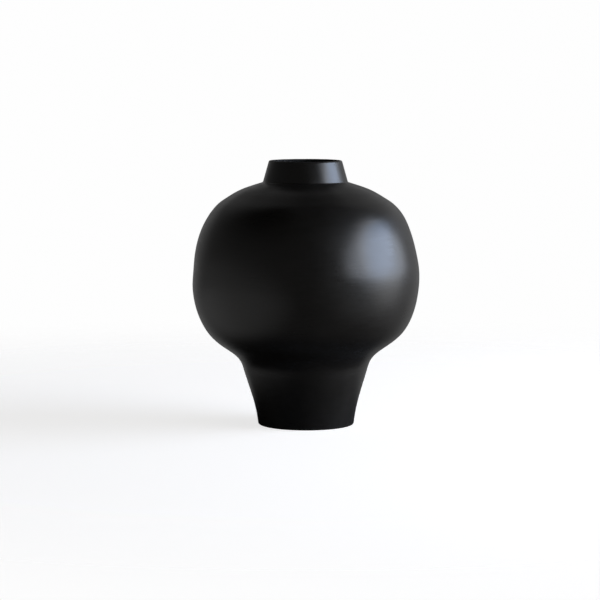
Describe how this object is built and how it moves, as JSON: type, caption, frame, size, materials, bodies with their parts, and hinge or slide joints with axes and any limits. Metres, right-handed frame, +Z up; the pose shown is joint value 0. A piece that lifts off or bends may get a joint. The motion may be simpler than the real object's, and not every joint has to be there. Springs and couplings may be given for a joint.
{
  "type": "clay jar",
  "caption": "Round black clay jar on a tapered foot, with a short tapered collar and an open mouth, burnished outside.",
  "frame": {"origin": "centre of the circle that the foot stands on", "axes": "+Z up along the jar's axis of revolution, +Y to the back, +X to the right"},
  "size_m": [0.299, 0.299, 0.35],
  "materials": {
    "burnished_clay": "satin, burnished by hand and reduction fired to black",
    "unburnished_clay": "matt, with fine tooling marks"
  },
  "bodies": {
    "root": {"floor_slab": "unburnished_clay", "foot_wall": "burnished_clay", "lower_belly": "burnished_clay", "upper_belly": "burnished_clay", "neck_collar": "burnished_clay", "floor_joint_coil": "unburnished_clay", "waist_joint_coil": "unburnished_clay", "belly_joint_coil": "unburnished_clay", "collar_joint_coil": "unburnished_clay"}
  },
  "joints": []
}
